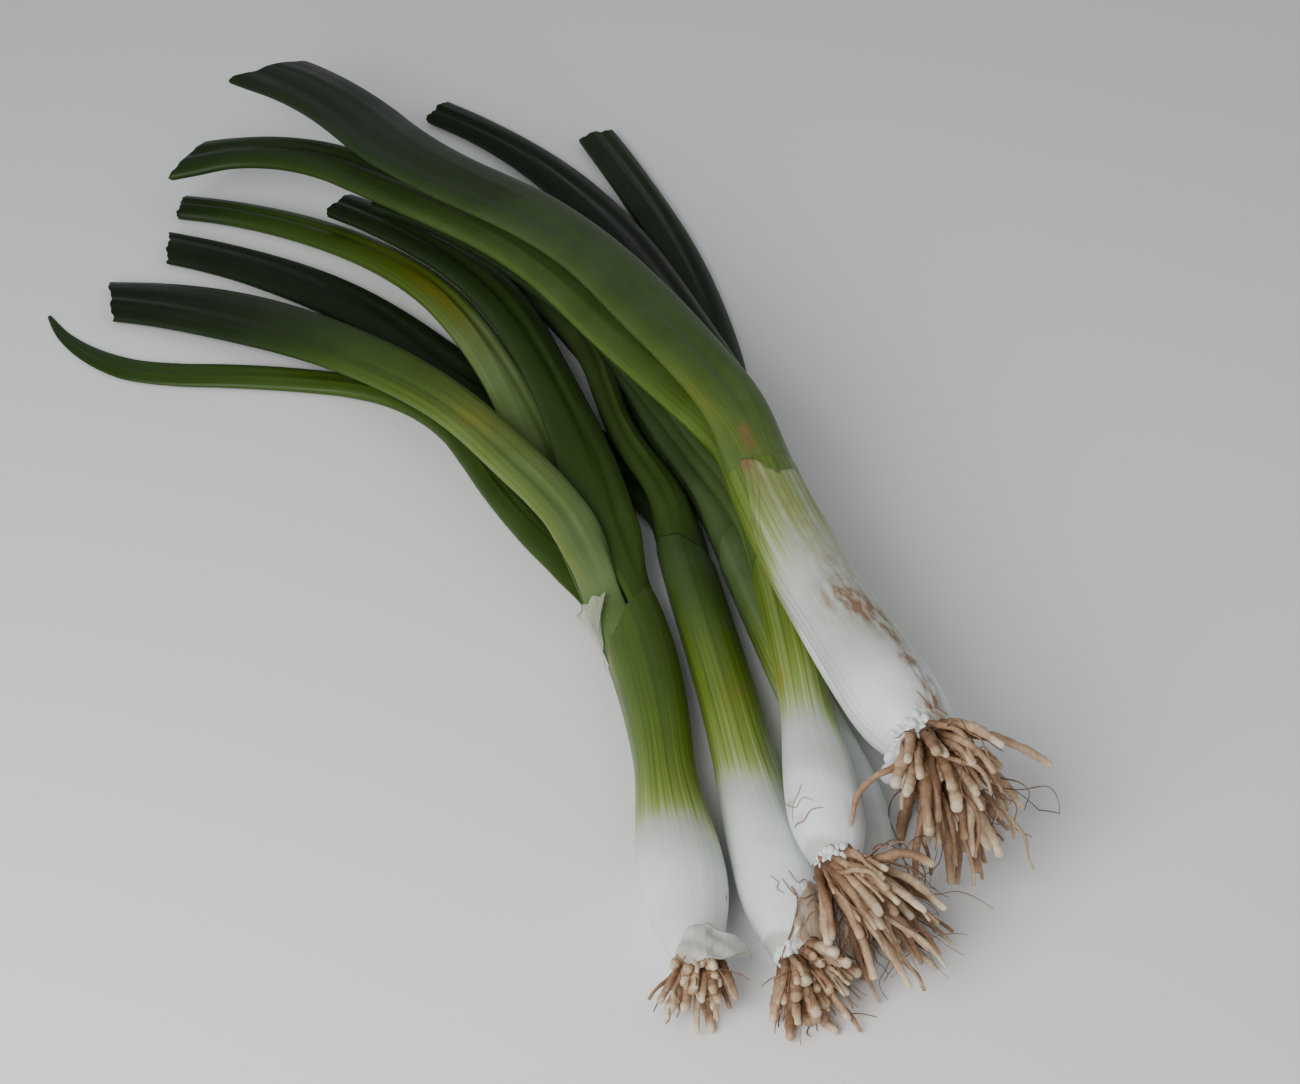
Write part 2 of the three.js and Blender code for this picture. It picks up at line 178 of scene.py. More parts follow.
def make_piece(name, surfaces, material, replaced):
    """One object from closed surfaces. The grid of each closes round its columns, and a pole at the
    middle of its first and of its last row shuts its ends. Its map counts metres round and along."""
    places, faces, maps, tones, marks = [], [], [], [], []
    first = 0
    for surface in surfaces:
        points = surface["points"]
        rows, columns = points.shape[:2]
        here = first + np.arange(rows * columns).reshape(rows, columns)
        after = np.roll(here, -1, axis=1)
        pole = first + rows * columns
        places += [points.reshape(-1, 3), points[0].mean(axis=0)[None], points[-1].mean(axis=0)[None]]
        faces += np.stack([here[:-1], here[1:], after[1:], after[:-1]], -1).reshape(-1, 4).tolist()
        faces += np.stack([np.full(columns, pole), here[0], after[0]], -1).tolist()
        faces += np.stack([np.full(columns, pole + 1), after[-1], here[-1]], -1).tolist()
        u = np.broadcast_to(
            surface.get("across", np.arange(columns + 1) * surface.get("round", 0) / columns),
            (rows, columns + 1),
        )
        v = np.broadcast_to(np.reshape(surface["along"], (-1, 1)), (rows, columns + 1))
        maps.append(np.stack([
            u[:-1, :-1], v[:-1, :-1], u[1:, :-1], v[1:, :-1], u[1:, 1:], v[1:, 1:], u[:-1, 1:], v[:-1, 1:],
        ], -1).reshape(-1, 2))
        for row, (a, b) in ((0, (u[0, :-1], u[0, 1:])), (-1, (u[-1, 1:], u[-1, :-1]))):
            level = v[row, :-1]
            maps.append(np.stack([(a + b) / 2, level, a, level, b, level], -1).reshape(-1, 2))
        for kept, key, blank in ((tones, "tone", 0.0), (marks, "marks", [0, 0, 0, CLEAR])):
            value = np.asarray(surface.get(key, blank), float)
            grid = np.broadcast_to(value, (rows, columns) + value.shape[2:] if value.ndim > 1
                                   else (rows, columns) + np.shape(blank)).reshape(rows * columns, -1)
            kept += [grid, grid[:1], grid[-1:]]
        first += rows * columns + 2
    mesh = bpy.data.meshes.new(name)
    mesh.from_pydata((np.concatenate(places) * 0.001).tolist(), [], faces)
    layer = mesh.uv_layers.new(name="skin")
    layer.data.foreach_set("uv", (np.concatenate(maps) * 0.001).ravel())
    tone = mesh.attributes.new("tone", "FLOAT", "POINT")
    tone.data.foreach_set("value", np.concatenate(tones).ravel())
    mark = mesh.attributes.new("marks", "FLOAT_COLOR", "POINT")
    mark.data.foreach_set("color", np.concatenate(marks).ravel())
    mesh.polygons.foreach_set("use_smooth", np.ones(len(mesh.polygons), bool))
    mesh.materials.append(material)
    piece = bpy.data.objects.new(name, mesh)
    bpy.context.collection.objects.link(piece)
    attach(piece, "root")
    if replaced:
        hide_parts(replaced)
    return piece


def node(tree, kind, inputs=(), **settings):
    """A shader node with its settings, whose inputs are values or the sockets that feed them."""
    made = tree.nodes.new("ShaderNode" + kind)
    for key, value in settings.items():
        setattr(made, key, value)
    for key, value in dict(inputs).items():
        if isinstance(value, bpy.types.NodeSocket):
            tree.links.new(value, made.inputs[key])
        else:
            made.inputs[key].default_value = value
    return made


def ramp(tree, factor, stops):
    """A colour ramp through (place, colour) stops."""
    made = node(tree, "ValToRGB", {0: factor})
    made.color_ramp.interpolation = "B_SPLINE"
    elements = made.color_ramp.elements
    while len(elements) < len(stops):
        elements.new(0.5)
    for element, (place, colour) in zip(elements, stops):
        element.position = place
        element.color = (*colour, 1)
    return made.outputs[0]


def maths(tree, operation, *values):
    """One step of arithmetic between values or sockets."""
    return node(tree, "Math", dict(enumerate(values)), operation=operation).outputs[0]


def times(tree, first, second):
    """The product of two values or sockets."""
    return maths(tree, "MULTIPLY", first, second)


def plus(tree, first, second):
    """The sum of two values or sockets."""
    return maths(tree, "ADD", first, second)


def blend(tree, factor, first, second, how="MIX"):
    """The first colour turned towards the second by the factor."""
    made = node(tree, "Mix", {0: factor, 6: first, 7: second}, data_type="RGBA", blend_type=how)
    return made.outputs[2]


def spread(tree, value, low, high, start, end):
    """The value's range low to high laid over start to end, held at both ends."""
    made = node(tree, "MapRange", {0: value, 1: low, 2: high, 3: start, 4: end})
    return made.outputs[0]


def streaks(tree, across, along, detail=2.0):
    """Noise drawn out along a stem: so many grains to the metre across it and along it."""
    place = node(tree, "UVMap", uv_map="skin").outputs[0]
    scaled = node(tree, "Mapping", {0: place, 3: (across, along, 1)}).outputs[0]
    return node(tree, "TexNoise", {"Vector": scaled, "Scale": 1.0, "Detail": detail}).outputs[0]


def grains(tree, scale, detail=3.0):
    """Even noise in space, with so many grains to the metre."""
    place = node(tree, "TexCoord").outputs["Object"]
    return node(tree, "TexNoise", {"Vector": place, "Scale": scale, "Detail": detail}).outputs[0]


def new_skin(name):
    """A fresh material, its tree and its shader."""
    material = bpy.data.materials.new(name)
    material.use_nodes = True
    return material, material.node_tree, material.node_tree.nodes["Principled BSDF"]


def wrinkle(tree, shader, height, strength, depth):
    """Fine relief on a skin: bumps of this strength and this depth in metres."""
    bump = node(tree, "Bump", {"Height": height, "Strength": strength, "Distance": depth})
    tree.links.new(bump.outputs[0], shader.inputs["Normal"])


# The darkest stops colour the far ends of the leaves, where the tone is partly painted shade for the light
# falling off there.
FLESH = [
    (0.00, (0.84, 0.88, 0.88)),
    (0.05, (0.62, 0.655, 0.635)),
    (0.10, (0.485, 0.515, 0.475)),
    (0.17, (0.43, 0.485, 0.32)),
    (0.28, (0.27, 0.35, 0.085)),
    (0.44, (0.130, 0.195, 0.012)),
    (0.60, (0.051, 0.096, 0.0085)),
    (0.80, (0.022, 0.046, 0.009)),
    (1.00, (0.006, 0.010, 0.005)),
]
WAX = (0.135, 0.19, 0.085, 1)
YELLOW = (0.24, 0.18, 0.01, 1)
SOIL = (0.20, 0.098, 0.042, 1)
SEAM = (0.10, 0.07, 0.04, 1)


def onion_skin(name, gloss):
    """Smooth onion flesh. The tone at a point, shifted by fine streaks where white meets green, picks
    a colour from white to deep green; wax, yellowing, soil and sheath seams are laid over it."""
    material, tree, shader = new_skin(name)
    tone = node(tree, "Attribute", attribute_name="tone").outputs["Fac"]
    marks = node(tree, "Attribute", attribute_name="marks")
    parts = node(tree, "SeparateColor", {0: marks.outputs["Color"]}).outputs
    veins = spread(tree, streaks(tree, 950, 6), 0.34, 0.66, -0.5, 0.5)
    bands = streaks(tree, 260, 4)
    cloud = grains(tree, 55)
    speck = streaks(tree, 520, 170, 6.0)
    rest = maths(tree, "SUBTRACT", 1.0, tone)
    bell = times(tree, tone, times(tree, rest, rest))
    bell = times(tree, bell, spread(tree, tone, 0.08, 0.26, 0.25, 1.0))
    shift = times(tree, veins, times(tree, bell, 1.5))
    drift = times(tree, maths(tree, "SUBTRACT", bands, 0.5), times(tree, bell, 1.6))
    turned = plus(tree, tone, plus(tree, shift, drift))
    colour = ramp(tree, turned, FLESH)
    grain = plus(tree, 0.035, times(tree, tone, 0.30))
    fine = plus(tree, 1.0, times(tree, veins, grain))
    uneven = spread(tree, cloud, 0.3, 0.7, 0.93, 1.05)
    level = times(tree, fine, uneven)
    colour = blend(tree, 1.0, colour, node(tree, "CombineColor", {0: level, 1: level, 2: level}).outputs[0],
                   "MULTIPLY")
    waxed = times(tree, parts["Blue"], spread(tree, cloud, 0.35, 0.65, 0.55, 1.0))
    colour = blend(tree, waxed, colour, WAX)
    yellowed = times(tree, parts["Green"], spread(tree, bands, 0.35, 0.65, 0.5, 1.0))
    colour = blend(tree, yellowed, colour, YELLOW)
    grit = spread(tree, speck, 0.36, 0.66, 0.10, 1.0)
    dirty = maths(tree, "MINIMUM", times(tree, parts["Red"], grit), 0.92)
    colour = blend(tree, dirty, colour, SOIL)
    line = spread(tree, maths(tree, "ABSOLUTE", marks.outputs["Alpha"]), 0.0, 0.26, 0.85, 0.0)
    seamed = times(tree, line, spread(tree, bands, 0.3, 0.6, 0.35, 1.0))
    colour = blend(tree, seamed, colour, SEAM)
    tree.links.new(colour, shader.inputs["Base Color"])
    rough = plus(tree, spread(tree, cloud, 0.3, 0.7, 0.33, 0.45), times(tree, dirty, 0.3))
    tree.links.new(rough, shader.inputs["Roughness"])
    wrinkle(tree, shader, plus(tree, veins, times(tree, bands, 1.4)), 0.22, 0.0002)
    shader.inputs["Specular IOR Level"].default_value = gloss
    shader.inputs["Subsurface Weight"].default_value = 0.12
    shader.inputs["Subsurface Radius"].default_value = (1.0, 0.9, 0.6)
    shader.inputs["Subsurface Scale"].default_value = 0.002
    return material


STEM_SKIN = onion_skin("stem skin", 0.5)
SHAFT_COLUMNS = 160
SHAFT_STEP = 0.9
COLLAR_WALL = 0.25
SLANTED = 45.0  # length over which the end of a stem or leaf takes on its slant
FANNED = 80.0  # length over which the top of a stem fans out
TABLE_GAP = 0.15  # how far a skin stays above the table
COLLAR_DEEP = 6.0
# how far each bulb rounds off past its root plate
FOOT = {"onion_1": 6.5, "onion_2": 4.5, "onion_3": 3.2, "onion_4": 3.2, "onion_5": 3.2, "onion_6": 3.2}
ROUND = around(SHAFT_COLUMNS) - np.pi / 2

# tone: (distance from the root plate, tone). lean shifts the greening with the side, in mm. collar:
# how far the rim lies past the joint, how much it slants, and the angle where it is longest.
# dirt and yellow are spots (distance, degrees, length, width, strength); wax is (distance, amount).
# fan is how far each side of the top spreads where its leaves part, and the side it leans to.
SHAFTS = {
    "onion_1": {
        # The tone of 0.11 at the foot and the dirt and yellow spots at 140 degrees there make the base round
        # the root beads darker and warmer, so the beads stand out.
        "tone": [(-1, 0.11), (1.5, 0.04), (42, 0.02), (58, 0.2), (78, 0.44), (112, 0.56)],
        "lean": 0, "collar": (-4, 2, 250), "dirt": [(-5, 140, 2.4, 12, 0.3), (-3, 70, 4, 7, 0.8)],
        "yellow": [(64, 196, 16, 3, 0.5), (-3, 140, 3, 14, 0.18)],
    },
    "onion_2": {
        "tone": [(-1, 0.12), (1, 0.06), (30, 0.09), (43, 0.12), (54, 0.28), (64, 0.37), (76, 0.44),
                 (98, 0.5), (124, 0.62)],
        "lean": 5, "collar": (-4, 6, 60),
        "dirt": [(19, 160, 1.2, 3.5, 0.55), (12, 150, 1.5, 2, 0.5), (14, 20, 14, 3, 0.25),
                 (1, 120, 2, 6, 0.15)],
        "yellow": [(66, 150, 5, 3, 0.7), (56, 20, 10, 1.2, 0.6), (10, 12, 25, 5, 0.12),
                   (-3.4, 130, 1.6, 8, 0.5)],
    },
    "onion_3": {
        "tone": [(-1, 0.12), (1, 0.03), (30, 0.03), (43, 0.07), (52, 0.14), (61, 0.30), (72, 0.40),
                 (92, 0.50), (112, 0.58), (139, 0.72), (160, 0.8)],
        "lean": 6, "collar": (-7, 8, 150),
        "dirt": [(89, 70, 1.4, 1.6, 0.7), (10, 60, 6, 3, 0.3), (6, 110, 8, 5, 0.15), (3, 40, 4, 4, 0.4)],
        "yellow": [(86, 88, 8, 4, 0.25)],
        "wax": [(0, 0), (160, 0.1)], "fan": (1.3, -1),
    },
    "onion_4": {
        "tone": [(0, 0.055), (28, 0.075), (37, 0.16), (45, 0.35), (52, 0.44), (69, 0.54), (96, 0.62),
                 (130, 0.62)],
        "lean": 3, "collar": (-11, 12, 20),
        "dirt": [(15, 20, 1.0, 0.7, 3.0), (34, 62, 1.2, 1.5, 0.55), (37, 64, 2, 3, 0.3),
                 (46, 20, 3, 1, 0.5), (62, 30, 2, 1.5, 0.4)],
        "yellow": [(112, 160, 14, 1.6, 0.75), (60, 20, 12, 1.5, 0.4)],
        "wax": [(0, 0), (110, 0), (130, 0.1)], "fan": (2.0, 1),
    },
    "onion_5": {
        "tone": [(0, 0.0), (48, 0.03), (70, 0.3), (92, 0.56), (112, 0.7), (136, 0.74)],
        "lean": 4, "collar": (-6, 7, 60), "dirt": [(6, 60, 8, 5, 0.15)],
        "wax": [(0, 0), (80, 0.15), (104, 0.45), (136, 0.4)],
    },
    "onion_6": {
        "tone": [(0, 0.04), (42, 0.08), (56, 0.34), (72, 0.48), (104, 0.56), (146, 0.76)],
        "lean": 4, "collar": (-6, 7, 80), "dirt": [(8, 70, 6, 4, 0.2)],
    },
}

tubes = {name: read_tube(f"{name}_shaft", 10) for name in SHAFTS}

for number, (name, look) in enumerate(SHAFTS.items()):
    tube = tubes[name]
    top = tube["s"][-1]
    dome = np.radians(np.linspace(6, 84, 12))
    body = np.arange(0, top, SHAFT_STEP)
    lining = np.array([0, 0, 0, -0.4, -2, -COLLAR_DEEP])
    inset = np.array([0, COLLAR_WALL / 2, COLLAR_WALL, COLLAR_WALL, COLLAR_WALL + 0.1, COLLAR_WALL + 1.5])
    s = np.concatenate([-FOOT[name] * np.cos(dome), body, top + lining])
    shrink = np.concatenate([np.sin(dome) ** 0.7, np.ones(len(body) + len(lining))])
    inward = np.concatenate([np.zeros(len(dome) + len(body)), inset])
    reach, slope, longest = look["collar"]
    rim = reach + slope * np.cos(ROUND - np.radians(longest)) + 0.5 * np.sin(7 * ROUND + number)
    along = s[:, None] + rim * ease((s - (top - SLANTED)) / SLANTED)[:, None]
    centre, side, up = frames(tube, along)
    radius = follow(tube["s"], tube["wide"], np.clip(along, 0, top)) * shrink[:, None] - inward[:, None]
    ridge = 0.05 * np.sin(7 * ROUND + 2.2 * number + along / 60) + 0.02 * np.sin(17 * ROUND - along / 45)
    radius = radius + ridge * shrink[:, None]
    points = centre + radius[..., None] * spoke(side, up, ROUND)
    fan, leans = look.get("fan", (0, 0))
    points += side * (fan * ease((along - top + FANNED) / FANNED) * (leans + np.cos(ROUND)))[..., None]
    points[..., 2] = np.maximum(points[..., 2], TABLE_GAP)
    bulb = tube["wide"].max()
    make_piece(
        f"{name}_stem",
        [{
            "points": points,
            "along": s,
            "round": 2 * np.pi * bulb * 0.8,
            # The 0.02 * cos term in the tone is painted shade: it darkens each stem on the side turned from
            # the key light.
            "tone": profile(look["tone"], along + look["lean"] * np.cos(ROUND)) + 0.02 * np.cos(ROUND),
            "marks": blots(along, ROUND, look, bulb),
        }],
        STEM_SKIN, f"{name}_shaft",
    )

# ------------------------------
# Outer sheath: the oldest sheath of the big onion, a thin white skin that wraps the stem from the
# bulb to the fork. Its free edge runs down the left side, with soil smeared over its top.


def wrapped_sheet(tube, left, right, foot, head, lift, thick, rows, columns):
    """A thin skin round a stem. left, right, foot and head are its four borders, as degrees at a
    distance and as distances at a share from left to right; lift is its height off the stem. Its
    columns cross the outer face from left to right and come back across the inner face."""
    share = np.linspace(0, 1, columns)
    upward = np.linspace(0, 1, rows)[:, None]
    s = foot(share) + (head(share) - foot(share)) * upward
    middle = s.mean(axis=1, keepdims=True)
    angle = np.radians(left(middle) + (right(middle) - left(middle)) * share)
    top = tube["s"][-1]
    raised = follow(tube["s"], tube["wide"], np.clip(s, 0, top)) + lift(s, share)
    centre, side, up = frames(tube, s)
    way_out = spoke(side, up, angle)
    taper = thick * np.minimum(1, 6 * np.minimum(share, 1 - share) + 0.25)
    outer = centre + way_out * raised[..., None]
    inner = centre + way_out * (raised - taper)[..., None]
    points = np.concatenate([outer, inner[:, ::-1]], axis=1)
    points[..., 2] = np.maximum(points[..., 2], TABLE_GAP)
    return points[:, ::-1], s, angle


def both_faces(values):
    """Values of the outer face repeated for the inner, in the order of the sheet's columns."""
    return np.concatenate([values, values[:, ::-1]], axis=1)[:, ::-1]


SHEATH_SOIL = [
    (45, 98, 8, 5.5, 1.0), (37, 78, 8, 4.5, 0.9), (30, 66, 7, 2.6, 0.8), (16.5, 69, 3.6, 2.4, 1.4),
    (58, 74, 14, 5, 0.45), (5, 62, 9, 3.4, 1.0), (0, 80, 4, 5, 0.8), (104, 122, 3.2, 3.4, 1.5),
    (97, 116, 4, 1.8, 0.7), (82, 92, 18, 6, 0.35), (24, 60, 12, 2.2, 0.5),
]
points, s, angle = wrapped_sheet(
    tubes["onion_1"],
    left=lambda d: profile([(0, 178), (20, 171), (45, 172), (62, 174), (76, 164), (86, 142), (106, 126)], d),
    right=lambda d: profile([(0, -60), (44, -56), (56, -20), (64, 22), (76, 35), (106, 44)], d),
    foot=lambda q: 1.2 + 0.5 * np.sin(23 * q),
    head=lambda q: 105 - 9 * ease(q / 0.6) + 1.2 * np.sin(9 * q) + 0.4 * np.sin(31 * q),
    lift=lambda d, q: 0.42 - 0.2 * ease(1 - d / 12) + 0.12 * np.sin(d / 9 + 5 * q),
    thick=0.3, rows=150, columns=110,
)
edge = (angle - angle[:, :1]) * -11.0
marks = np.zeros(s.shape + (4,))
marks[..., 0] = patch(s, angle, SHEATH_SOIL, 11)
# The 0.08 bell near 4 mm yellows the foot of the sheath round the root beads.
marks[..., 1] = 0.10 * ease((s - 70) / 30) + 0.08 * np.exp(-(((s - 4) / 5) ** 2))
marks[..., 2] = 0.06 * ease((s - 22) / 40) + 0.36 * ease((s - 58) / 40)
marks[..., 3] = np.minimum(np.abs(edge - 1.9), np.minimum(np.abs(edge - 3.6), edge + 0.05))
make_piece(
    "onion_1_outer_sheath",
    [{
        "points": points,
        "along": s.mean(axis=1),
        "across": np.append(both_faces(angle), both_faces(angle)[:, :1], axis=1) * -11.0,
        # In the tone, the 0.02 * cos term is painted shade: it darkens the sheath on the side turned from
        # the key light, as on the stems.
        "tone": both_faces(
            0.02 + 0.085 * ease((s - 10) / 22) + 0.13 * ease((s - 52) / 36) + 0.02 * np.cos(angle)
            + 0.26 * np.exp(-edge / 4.5) * ease((s - 52) / 26)
            + 0.16 * ease((angle[:, :1] - angle - 1.25) / 0.9) * ease((s - 70) / 20)
        ),
        "marks": both_faces(marks),
    }],
    STEM_SKIN, None,
)

# ------------------------------
# Leaves: hollow tubes pressed flat. Each starts as a layer packed inside the top of its stem, opens
# into its own flattened tube past the fork, and ends in a knife cut, or grows to a point.

BLADE_SKIN = onion_skin("blade skin", 0.17)
LEAF_COLUMNS = 96
LEAF_STEP = 1.5
ROOTED = 34.0  # length of leaf packed inside the stem
OPENING = 30.0  # length past the fork over which the layer becomes a tube
WALL = 0.45
HOLLOW = 24.0  # depth of the hollow that shows at a cut end
LEAF_ROUND = 8  # radius that the widths of spots on a leaf are measured round
PACK = 0.3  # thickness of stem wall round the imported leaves
TURN = around(LEAF_COLUMNS) - np.pi / 2


def packed_section(place, planes, radius):
    """Section of a leaf packed in its stem: from its own middle, the distance in each direction to
    the stem's circle or to the nearest of the planes between layers, with the corners rounded by a
    soft minimum. A plane is (side part, up part, distance from the stem's axis)."""
    ray = np.stack([np.cos(TURN), np.sin(TURN)])
    near = place @ ray
    reach = -near + np.sqrt(near**2 - place @ place + radius**2)
    total = reach**-8.0
    for across, above, distance in planes:
        facing = across * ray[0] + above * ray[1]
        room = distance - (across * place[0] + above * place[1])
        total += (np.maximum(facing, 1e-3) / room) ** 8
    return ray * total ** (-1 / 8)


# place is a layer's middle off the stem's axis. planes keep it off its neighbours; without them two
# layers halve the stem. crease is the depth of the fold down the upper face, its place across and how
# far it wanders. glow is painted light: it lightens the left edge, the side the key light falls on;
# wax, yellow and dirt are as on the stems. swell is a bell along the leaf (distance, length, widening,
# shift sideways).
# Each leaf's tone deepens towards its far end: partly the leaf's own darker green, partly painted shade
# where the light falls off away from the bulbs.
LEAVES = {
    "onion_1_leaf_lower": {
        "tone": [(-24, 0.5), (0, 0.58), (40, 0.66), (120, 0.74), (190, 0.82), (276, 0.92)],
        "place": (0, -5.1), "crease": (1.0, 0.25, 0.2), "glow": 0.10,
        "wax": [(0, 0.1), (120, 0.2), (190, 0.04), (276, 0)],
    },
    "onion_1_leaf_upper": {
        "tone": [(-24, 0.45), (0, 0.58), (26, 0.67), (80, 0.79), (140, 0.89), (220, 1.0), (281, 1.05)],
        "place": (0, 5.1), "crease": (0.7, -0.2, 0.3), "glow": 0.12,
        "wax": [(0, 0.3), (60, 0.2), (120, 0.22), (180, 0.06), (281, 0)],
        "yellow": [(24, 160, 16, 4, 0.2)], "dirt": [(2, 122, 3.4, 2.8, 1.5), (6, 112, 2.4, 1.8, 1.1)],
        "swell": (260, 70, 3.0, 3.5),
    },
    "onion_2_leaf_lower": {
        "tone": [(-24, 0.55), (0, 0.62), (30, 0.74), (100, 0.86), (220, 0.96)],
        "place": (0, -3.3), "crease": (0.5, 0.2, 0.2),
        "wax": [(0, 0.3), (60, 0.1), (220, 0)],
    },
    "onion_2_leaf_upper": {
        "tone": [(-24, 0.55), (0, 0.62), (30, 0.76), (90, 0.88), (180, 0.97)],
        "place": (0, 3.3), "crease": (0.6, -0.2, 0.2),
        "wax": [(0, 0.2), (60, 0.1), (180, 0)],
    },
    "onion_3_leaf_lower": {
        "tone": [(-24, 0.68), (0, 0.76), (60, 0.9), (150, 0.98), (236, 1.0)],
        "place": (0, -3.1), "crease": (0.8, 0.1, 0.3),
    },
    "onion_3_leaf_upper": {
        "tone": [(-24, 0.70), (0, 0.74), (50, 0.74), (110, 0.82), (195, 0.94)],
        "place": (0, 3.1), "crease": (0.4, 0.0, 0.2), "glow": 0.03,
        "wax": [(0, 0.05), (60, 0.15), (195, 0)],
    },
    "onion_4_leaf_lowest": {
        "tone": [(-24, 0.6), (0, 0.68), (80, 0.74), (150, 0.66), (200, 0.74), (255, 0.9)],
        "place": (0, -6.4), "planes": [(0, 1, -4.6)], "crease": (0.3, 0, 0.2),
        "wax": [(0, 0.1), (100, 0.05), (255, 0)], "swell": (205, 60, 3.4, -4.5),
    },
    "onion_4_leaf_inner": {
        "tone": [(-24, 0.6), (0, 0.68), (70, 0.66), (105, 0.54), (160, 0.60), (200, 0.68), (244, 0.80),
                 (270, 0.95)],
        "place": (0, -2.5), "planes": [(0, 1, -0.4), (0, -1, 4.6)], "crease": (0.7, 0.3, 0.2), "glow": 0.04,
        "wax": [(0, 0.1), (80, 0.55), (125, 0.7), (160, 0.1), (270, 0)],
        "yellow": [(152, 100, 22, 4, 0.5), (185, 80, 14, 3, 0.2)],
    },
    "onion_4_leaf_right": {
        "tone": [(-24, 0.62), (0, 0.68), (40, 0.76), (120, 0.82), (225, 0.96)],
        "place": (4.2, 3.4), "planes": [(-1, 0, -0.2), (0, -1, 0.3)], "crease": (0.8, 0.2, 0.3),
        "wax": [(0, 0.1), (60, 0), (225, 0)], "swell": (26, 36, 2.0, 2.5),
    },
    "onion_4_leaf_left": {
        "tone": [(-24, 0.6), (0, 0.6), (60, 0.53), (110, 0.60), (145, 0.72), (175, 0.90), (236, 1.05)],
        "place": (-4.0, 3.4), "planes": [(1, 0, -0.2), (0, -1, 0.3)],
        "crease": (0.6, -0.1, 0.3), "glow": 0.04,
        "wax": [(-24, 0.5), (0, 0.7), (40, 0.6), (90, 0.3), (140, 0.1), (236, 0)],
        "yellow": [(84, 90, 12, 4, 0.5), (20, 160, 22, 2.5, 0.3)], "swell": (200, 60, 4.6, -0.5),
    },
    "onion_5_leaf_lower": {
        "tone": [(-24, 0.72), (0, 0.78), (80, 0.9), (210, 0.98)],
        "place": (0, -3.1), "crease": (0.4, 0, 0.2),
        "wax": [(0, 0.3), (60, 0.1), (210, 0)],
    },
    "onion_5_leaf_upper": {
        "tone": [(-24, 0.72), (0, 0.78), (80, 0.9), (170, 0.98)],
        "place": (0, 3.1), "crease": (0.4, 0, 0.2),
        "wax": [(0, 0.3), (60, 0.1), (170, 0)],
    },
    "onion_6_leaf_lower": {
        "tone": [(-24, 0.74), (0, 0.8), (60, 0.96), (175, 1.05)],
        "place": (0, -4.0), "crease": (0.7, 0, 0.3),
        "wax": [(0, 0), (100, 0.04), (175, 0.08)],
    },
    "onion_6_leaf_upper": {
        "tone": [(-24, 0.74), (0, 0.8), (60, 0.96), (215, 1.1)],
        "place": (0, 4.0), "crease": (0.7, 0, 0.3),
    },
}

